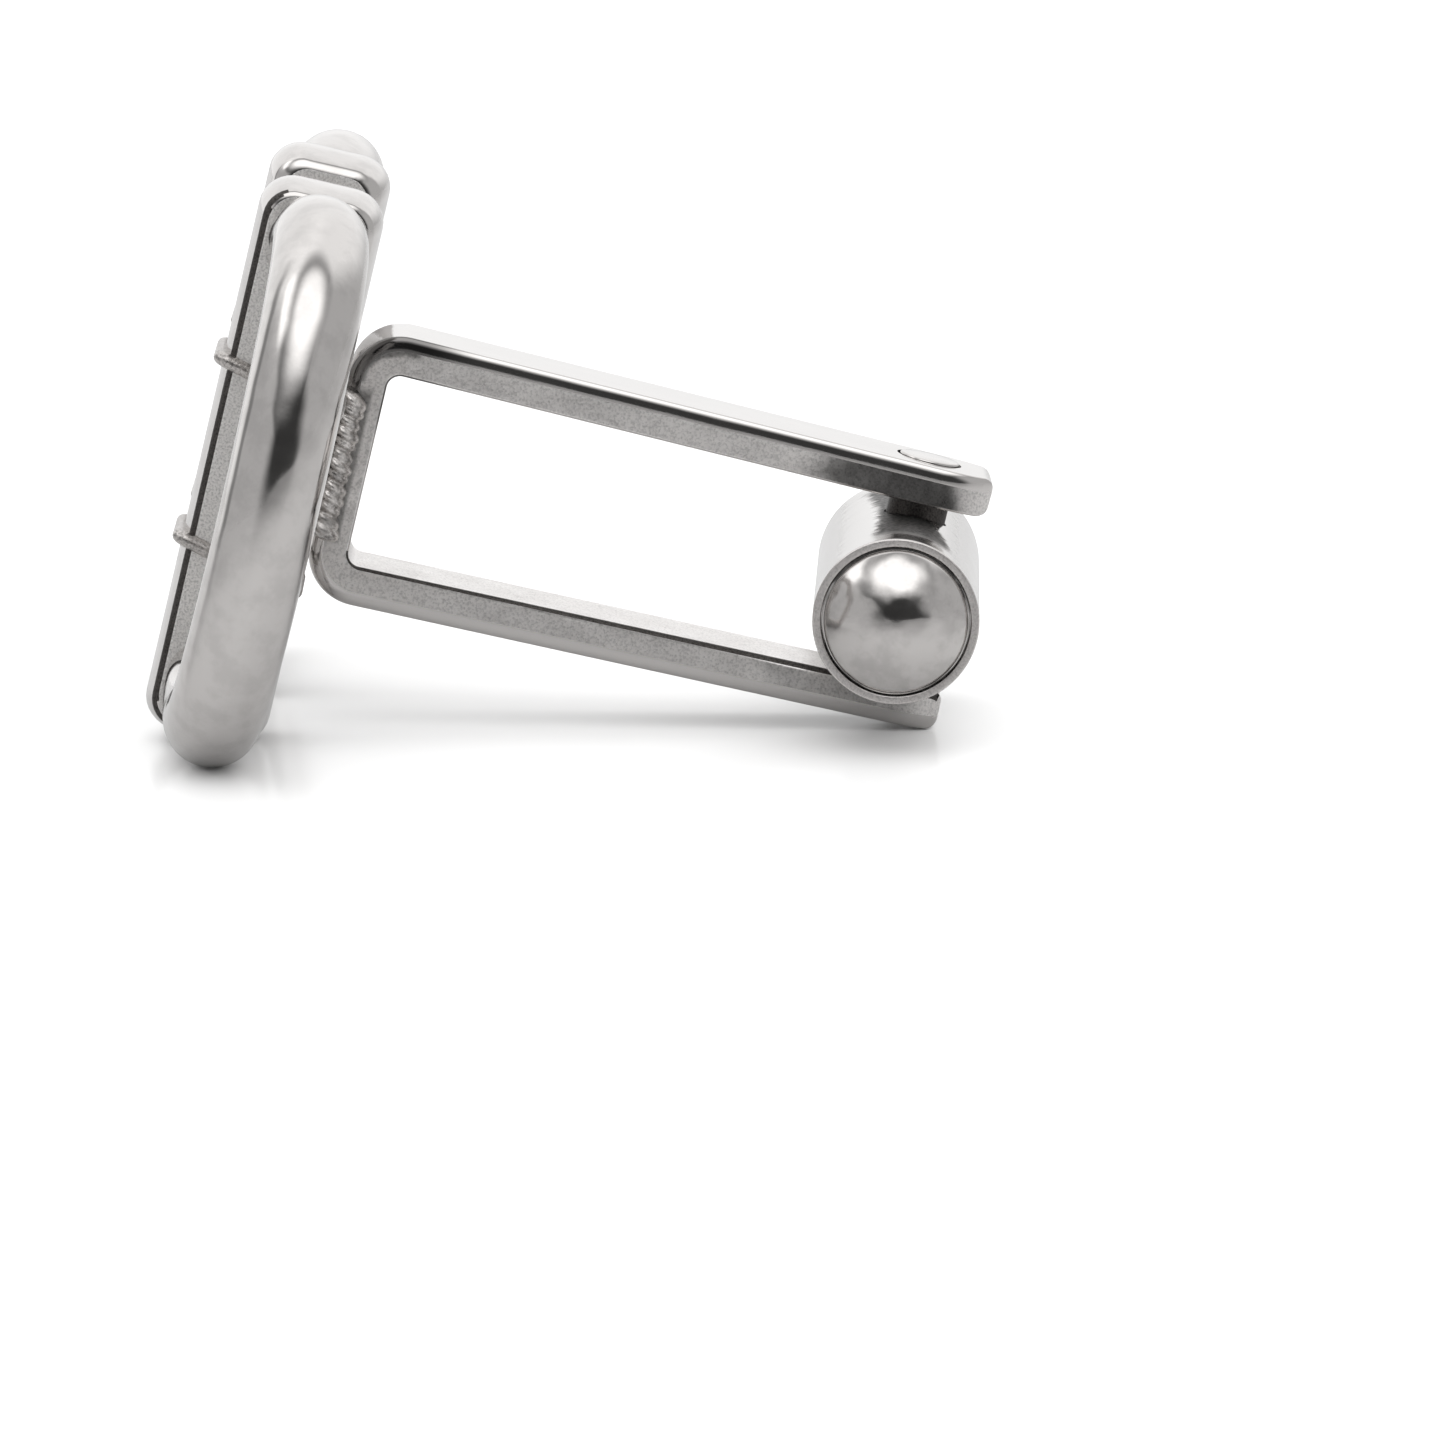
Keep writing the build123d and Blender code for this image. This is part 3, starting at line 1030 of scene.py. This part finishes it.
# The blotchy patch in the bend is painted dark: a painted dark reflection under the roll.
from_center = distance(
    tree,
    combine(tree, "SUBTRACT", along_arm, BEND_CENTER[0]),
    combine(tree, "SUBTRACT", up_arm, BEND_CENTER[1]),
)
in_bend = combine(
    tree, "MULTIPLY", step(tree, along_arm, *BEND_REFLECTION_RUN, 1.0, 0.0), step(tree, up_arm, *BEND_REFLECTION_RISE)
)
blotchy = combine(tree, "MULTIPLY_ADD", blotch, 0.5, from_center)
painted_bend_reflection = combine(tree, "MULTIPLY", in_bend, step(tree, blotchy, *BEND_REFLECTION_INNER))
add_shade(satin_cut, step(tree, painted_bend_reflection, 0.0, 1.0, 1.0, BEND_REFLECTION_LIGHT))

# The rolled edge is made darker along a margin in the upper bend.
tree = rolled.node_tree
_, axis = in_drawing(tree)
past_bend = step(tree, axis["X"], *DARKER_ROLL_RUN)
off_edge = step(tree, combine(tree, "ABSOLUTE", axis["Y"]), *DARKER_ROLL_EDGE, 1.0, 0.0)
below = step(tree, axis["Z"], *DARKER_ROLL_RISE, 1.0, 0.0)
beside_darker_roll = combine(tree, "MAXIMUM", combine(tree, "MAXIMUM", past_bend, off_edge), below)
add_shade(rolled, step(tree, beside_darker_roll, 0.0, 1.0, DARKER_ROLL_TONE, 1.0))

tree = weld_steel.node_tree
there, axis = in_drawing(tree)
soot = node(tree, "TexNoise", Vector=there, Scale=3.4, Detail=4.0).outputs["Fac"]
add_shade(weld_steel, step(tree, soot, *SPOTS, SOOT_LIGHT, 1.0))
add_shade(weld_steel, step(tree, axis["X"], *BEAD_MARGIN, MARGIN_LIGHT, 1.0))
print("Dark marks on", [m.name for m in (satin_cut, rolled, weld_steel)])

# %% [markdown]
# The tube has worn against the upper arm. From there a dull patch with frayed edges runs both ways
# along it, widens a little and fades out before the ends. It is rougher from the wear, and painted
# dark as well: a painted reflection of the dark arm above it.

# %% The worn patch on the tube, with its painted dark reflection
PATCH_BEFORE_PIN = 0.3
PATCH_WIDENS = (0.5, 6.0)
PATCH_DRIFT = 0.15
PATCH_HALF = 0.6
PATCH_FRAY = 0.5
PATCH_SPREAD = 0.4
PATCH_EDGE = (-0.2, 0.12)
PATCH_END = (4.2, 5.5)
PATCH_PAINTED_DARK = (0.95, 0.7)
PATCH_ROUGH = 0.4

tree = barrel_steel.node_tree
there, axis = in_drawing(tree)
fray = node(tree, "TexNoise", Vector=there, Scale=2.5, Detail=5.0).outputs["Fac"]
along_tube = combine(tree, "ABSOLUTE", axis["Y"])
from_arm = step(tree, along_tube, *PATCH_WIDENS)
middle = combine(tree, "MULTIPLY_ADD", from_arm, PATCH_DRIFT, PIN_FROM_HEAD - PATCH_BEFORE_PIN)
off_middle = combine(tree, "ABSOLUTE", combine(tree, "SUBTRACT", axis["X"], middle))
frayed = combine(tree, "MULTIPLY_ADD", fray, PATCH_FRAY, PATCH_HALF)
half_patch = combine(tree, "MULTIPLY_ADD", from_arm, PATCH_SPREAD, frayed)
beyond = combine(tree, "SUBTRACT", off_middle, half_patch)
rub_and_dark_reflection = combine(
    tree, "MULTIPLY",
    step(tree, beyond, *PATCH_EDGE, 1.0, 0.0), step(tree, along_tube, *PATCH_END, 1.0, 0.0),
)
skin = node(tree, "TexNoise", Vector=there, Scale=9.0, Detail=4.0).outputs["Fac"]
# The patch is painted dark as well: a painted reflection of the dark arm above it.
painted_reflection_darkness = combine(tree, "MULTIPLY", rub_and_dark_reflection, step(tree, skin, *NOISE, *PATCH_PAINTED_DARK))
add_shade(barrel_steel, combine(tree, "SUBTRACT", 1.0, painted_reflection_darkness))
rough_socket = main_shader(barrel_steel).inputs["Roughness"]
base_rough = rough_socket.links[0].from_socket
tree.links.new(combine(tree, "MULTIPLY_ADD", rub_and_dark_reflection, PATCH_ROUGH, base_rough), rough_socket)
print("The tube's patch fades out", PATCH_END, "mm from the arm")

# %% [markdown]
# Handling leaves polished steel uneven in tone: faint clouds, about a millimetre across, take a
# little light from the rings and a little more from the domes.

# %% Clouds on the polish
for finish, faint in ((polished, 0.9), (domed, 0.84)):
    tree = finish.node_tree
    there, _ = in_drawing(tree)
    cloud = node(tree, "TexNoise", Vector=there, Scale=1.1, Detail=5.0, Roughness=0.6)
    add_shade(finish, step(tree, cloud.outputs["Fac"], 0.36, 0.6, faint, 1.0))
    print(finish.name, "keeps", faint, "of its light in the clouds")

# %% [markdown]
# Polishing reaches the broad faces and the rolled edges. The cut sides of the strip, the flat
# faces of the uprights and the tube's rim keep the duller skin of the cut, so those faces get a
# second material slot, picked by the way they face in the drawing.

# %% Give each face its finish
# A face whose normal is this close to sideways belongs to a flat side.
FLAT_SIDE = 0.985


def paint(piece, main, *others):
    """Main material all over, and each of the others on the faces that pass its test."""
    take(piece)
    piece.data.materials.clear()
    for _ in range(1 + len(others)):
        bpy.ops.object.material_slot_add()
    piece.material_slots[0].material = main
    counts = []
    for index, (material, test) in enumerate(others, 1):
        piece.material_slots[index].material = material
        count = 0
        for face in piece.data.polygons:
            facing = (to_drawing.to_3x3() @ face.normal).normalized()
            if test(to_drawing @ face.center, facing):
                face.material_index = index
                count += 1
        counts.append(f"{count} faces in {material.name}")
    print(piece.name, "is", main.name, *counts)


def below_skin(m):
    """How deep a point of the bent strip lies below its outer skin."""
    if m.x >= corner_x:
        return FRAME_WIDTH / 2 - m.x * slope - abs(m.z)
    if abs(m.z) > corner_z:
        return corner_x - math.hypot(m.x - corner_x, abs(m.z) - corner_z)
    return m.x


def cut_side(m, n):
    """The strip's cut sides below the rolled edge, its ends and its inner faces."""
    at_end = m.x > FRAME_LENGTH - ARM_END_LENGTH and abs(n.z) < 0.3
    cut_face = abs(n.y) > FLAT_SIDE or abs(n.y) < 0.1 or at_end
    return cut_face and below_skin(m) > ROLL_HEIGHT - 0.01


def flat_face(m, n):
    return abs(n.y) > 0.97


# The uprights' outer rims take the dark rim finish: a painted dark reflection.
def dark_edge(m, n):
    """The rim between an upright's outer flat face and its front."""
    outermost = abs(m.y) > BAR_GAP / 2 + BAR_DEPTH - OUTER_RIM
    return outermost and 0.12 < abs(n.y) < FLAT_SIDE and n.x < -0.3


def tube_rim(m, n):
    """The ring of wall at both ends of the tube."""
    out = TOGGLE_PLACE.inverted() @ m
    return abs(out.z) > half_barrel - 0.03 and abs(n.y) > 0.8


def shank(m, n):
    """The side of the pin between the arms."""
    return abs(m.z) < arm_outer_at_pin - STRIP_THICK / 2


# The lower arm's eased inner edge is painted dark as well.
def lower_inner_edge(m, n):
    """The eased edge along the top of the lower arm and round the inside of its bend."""
    eased = 0.1 < abs(n.y) < FLAT_SIDE
    return eased and m.z < -1.5 and below_skin(m) > STRIP_THICK - LOWER_END_EASE - 0.05


for piece in (ring, far_ring, mouthpiece):
    paint(piece, polished)
for piece in collars:
    paint(piece, bound)
for piece in (near_weld, far_weld):
    paint(piece, weld_steel)
for piece in (cap, far_cap):
    paint(piece, domed)
for piece in (upright, far_upright):
    paint(piece, polished, (satin_face, flat_face), (painted_dark_rim, dark_edge))
# The pin's shank is painted dark: painted shade in the hole round it.
paint(pin, polished, (painted_dark_rim, shank))
paint(swivel, rolled, (satin_cut, cut_side), (painted_dark_rim, lower_inner_edge))
paint(barrel, barrel_steel, (turned, tube_rim))

# %% [markdown]
# ## Ride the frame
# Each piece moves with its body of the frame: the soldered metal and the pin with the head, the
# tube and its caps with the toggle.

# %% Bodies, and the imported parts that are hidden
for piece in head_pieces:
    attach(piece, "head")
    if piece is pin:
        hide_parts("pivot_pin")
    else:
        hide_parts("head_and_frame")
for piece in toggle_pieces:
    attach(piece, "toggle")
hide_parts("toggle_barrel")
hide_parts("near_cap")
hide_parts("far_cap")

# %% [markdown]
# ## Studio
# Polished metal shows its surroundings more than itself. A product photograph of it is taken on
# glossy white board, with white all round and overhead, and a dark opening on the camera's side
# that draws the dark shapes on the metal. The floor is a large plane of such board. The part that
# the metal mirrors lies in the camera's shadow, so mirror rays see a greyer board.

# %% Floor
FLOOR_SIZE = 4
BOARD_WHITE = "#ebebeb"
BOARD_IN_MIRRORS = "#b0b0b0"
BOARD_ROUGHNESS = (0.16, 0.2)
BOARD_GLOSS = 0.06

clear_selection()
bpy.ops.mesh.primitive_plane_add(size=FLOOR_SIZE)
floor = bpy.context.object
floor.name = "floor"
# Coated board: white, with a weak, soft mirror image under the metal.
board, tree = blank_material("glossy white board")
spot = node(tree, "TexCoord").outputs["Object"]
fibre = node(tree, "TexNoise", Vector=spot, Scale=60.0, Detail=3.0)
sheen = node(
    tree, "MapRange", Value=fibre.outputs["Fac"], From_Min=NOISE[0], From_Max=NOISE[1],
    To_Min=BOARD_ROUGHNESS[0], To_Max=BOARD_ROUGHNESS[1],
)
mirrored = node(tree, "LightPath").outputs["Is Glossy Ray"]
tone = node(
    tree, "Mix", {"data_type": "RGBA"}, Factor_Float=mirrored,
    A_Color=colour(BOARD_WHITE), B_Color=colour(BOARD_IN_MIRRORS),
).outputs[2]
surface = node(
    tree, "BsdfPrincipled", Base_Color=tone,
    Roughness=sheen.outputs["Result"], Specular_IOR_Level=BOARD_GLOSS,
)
node(tree, "OutputMaterial", Surface=surface.outputs["BSDF"])
take(floor)
bpy.ops.object.material_slot_add()
floor.material_slots[0].material = board
print("The floor is", board.name)

# %% [markdown]
# The surroundings are painted on the world by direction, as soft oval patches on a room that is
# grey in front and white behind. Lamps and screens would do too, but a table of patches is easier
# to match with a picture. Only the metal sees them: the camera sees plain white, and the light on
# the board is even, which keeps it white.

# %% Surroundings
SIDE_WALL = 0.56
BACK_WALL = 1.14
FLOOR_LIGHT = 2.1
BACK_ELEVATION = math.radians(55)
BACK_EDGE = (0.44, 0.72)
# Value; azimuth to the right, elevation, half width, half height and turn in degrees; softness.
ROOM_PATCHES = (
    (1.3, -120, 60, 36, 24, 0, 0.5),  # light high up on the left
    (1.1, -148, 8, 24, 44, 0, 0.3),  # white wall on the left
    (0.3, -114, 4, 6, 34, 0, 0.6),  # the dark edge of that wall
    (1.8, -74, 48, 16, 14, 0, 0.25),  # lamp on the left
    (0.16, -14, 20, 42, 9, -33, 0.25),  # the stand, left
    (0.2, 35, 40, 28, 6, 52, 0.25),  # the stand, right
    (0.06, 18, 1, 19, 10, 0, 0.5),  # shadow under the camera
    (0.05, 2, 11, 29, 16, 0, 0.35),  # camera and dark opening
    (0.13, 0, 58, 39, 35, 0, 0.2),  # dark frame of the soft box
    (1.7, 0, 56, 31, 26, 0, 0.4),  # soft box over the camera
)

world = bpy.data.worlds.new("studio")
bpy.context.scene.world = world
world.use_nodes = True
tree = world.node_tree
tree.nodes.clear()
direction = node(tree, "TexCoord").outputs["Generated"]


def along(vector):
    """How far the direction goes along a vector."""
    return node(
        tree, "VectorMath", {"operation": "DOT_PRODUCT"}, Vector=direction, Vector_001=vector
    ).outputs["Value"]


def blend(factor, first, second):
    return node(
        tree, "Mix", {"data_type": "FLOAT"}, Factor=factor, A=first, B=second
    ).outputs["Result"]


def patch(ground, value, azimuth, elevation, half_width, half_height, turn, soft):
    """Lays a soft oval patch of a value on the ground, and returns the result."""
    angles = (azimuth, elevation, half_width, half_height, turn)
    a, e, w, h, t = (math.radians(angle) for angle in angles)
    aim = Matrix.Rotation(a, 3, "Z") @ Matrix.Rotation(-e, 3, "X") @ Matrix.Rotation(-t, 3, "Y")
    across, away, upward = aim.col
    reach = distance(tree, along(across / math.sin(w)), along(upward / math.sin(h)))
    spread = step(tree, reach, 1 - soft, 1 + soft, 1.0, 0.0)
    in_front = combine(tree, "LESS_THAN", along(away), 0.0)
    return blend(combine(tree, "MULTIPLY", spread, in_front), ground, value)


towards_back = along((0, math.cos(BACK_ELEVATION), math.sin(BACK_ELEVATION)))
room = step(tree, towards_back, *BACK_EDGE, SIDE_WALL, BACK_WALL)
for row in ROOM_PATCHES:
    room = patch(room, *row)
ray = node(tree, "LightPath").outputs
shown = blend(ray["Is Camera Ray"], room, 1.0)
shown = blend(ray["Is Diffuse Ray"], shown, FLOOR_LIGHT)
background = node(tree, "Background", Color=colour("#ffffff"), Strength=shown)
node(tree, "OutputWorld", Surface=background.outputs["Background"])
bpy.context.scene.view_settings.view_transform = "Standard"
print(len(tree.nodes), "nodes paint the room")
